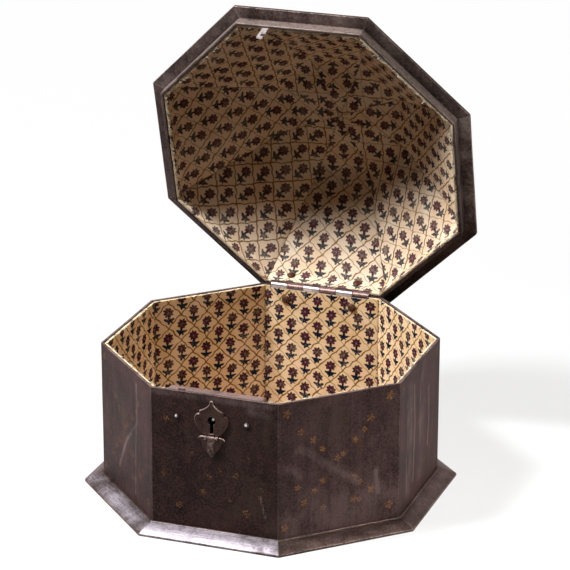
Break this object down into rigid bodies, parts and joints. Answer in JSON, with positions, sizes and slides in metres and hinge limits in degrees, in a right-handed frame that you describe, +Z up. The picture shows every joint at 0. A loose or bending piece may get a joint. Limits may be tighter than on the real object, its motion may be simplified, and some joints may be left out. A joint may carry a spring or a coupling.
{
  "type": "octagonal iron strongbox",
  "caption": "Eight-sided iron casket with a hinged hipped lid, moulded foot, printed cotton lining and a rim lock with a drop keyhole cover.",
  "frame": {"origin": "centre of the underside of the foot, on the ground", "axes": "+Z up, +X to the right seen from the front, the lock faces -Y and the lid's hinge is at +Y; the lid stands open at rest"},
  "size_m": [0.3346, 0.3883, 0.4469],
  "materials": {
    "iron": "dark brown patinated iron plate with faint gold inlay, satin",
    "moulding": "dark brown patinated iron moulding, worn lighter along its edges",
    "worn_iron": "iron rubbed bright by use",
    "lock_iron": "brown iron, filed and worn",
    "spring_steel": "blued spring steel",
    "cotton": "block-printed cotton on a board backing, staggered flowers in a trellis"
  },
  "bodies": {
    "casket": {"base_plate": "iron", "wall_front": "iron", "wall_front_right": "iron", "wall_right": "iron", "wall_back_right": "iron", "wall_back": "iron", "wall_back_left": "iron", "wall_left": "iron", "wall_front_left": "iron", "plinth_front": "moulding", "plinth_front_right": "moulding", "plinth_right": "moulding", "plinth_back_right": "moulding", "plinth_back": "moulding", "plinth_back_left": "moulding", "plinth_left": "moulding", "plinth_front_left": "moulding", "wall_lining": "cotton", "floor_lining": "cotton", "hinge_leaf_body": "worn_iron", "hinge_pin": "worn_iron", "hinge_rivet_body_left": "iron", "hinge_rivet_body_right": "iron", "lock_case": "lock_iron", "lock_top_plate": "lock_iron", "bolt_spring": "spring_steel", "key_pin": "worn_iron", "lock_rivet_left": "worn_iron", "lock_rivet_right": "worn_iron", "escutcheon": "lock_iron", "keyhole_cover_pin": "worn_iron"},
    "lid": {"lid_rim_front": "moulding", "lid_rim_front_right": "moulding", "lid_rim_right": "moulding", "lid_rim_back_right": "moulding", "lid_rim_back": "moulding", "lid_rim_back_left": "moulding", "lid_rim_left": "moulding", "lid_rim_front_left": "moulding", "lid_panel_front": "iron", "lid_panel_front_right": "iron", "lid_panel_right": "iron", "lid_panel_back_right": "iron", "lid_panel_back": "iron", "lid_panel_back_left": "iron", "lid_panel_left": "iron", "lid_panel_front_left": "iron", "lid_top_plate": "iron", "lid_lining": "cotton", "lid_catch": "worn_iron", "hinge_leaf_lid": "worn_iron", "hinge_rivet_lid_left": "iron", "hinge_rivet_lid_right": "iron"},
    "bolt": {"lock_bolt": "worn_iron"},
    "cover": {"keyhole_cover": "lock_iron"}
  },
  "joints": [
    {"name": "lid_hinge", "type": "hinge", "parent": "casket", "child": "lid", "pos_m": [0, 0.1484, 0.144], "axis": [1, 0, 0], "range_deg": [0, 75]},
    {"name": "bolt_slide", "type": "slide", "parent": "casket", "child": "bolt", "axis": [-1, 0, 0], "range_m": [0, 0.0034]},
    {"name": "cover_hinge", "type": "hinge", "parent": "casket", "child": "cover", "pos_m": [-0.002, -0.1529, 0.103], "axis": [-1, 0, 0], "range_deg": [0, 180]}
  ]
}
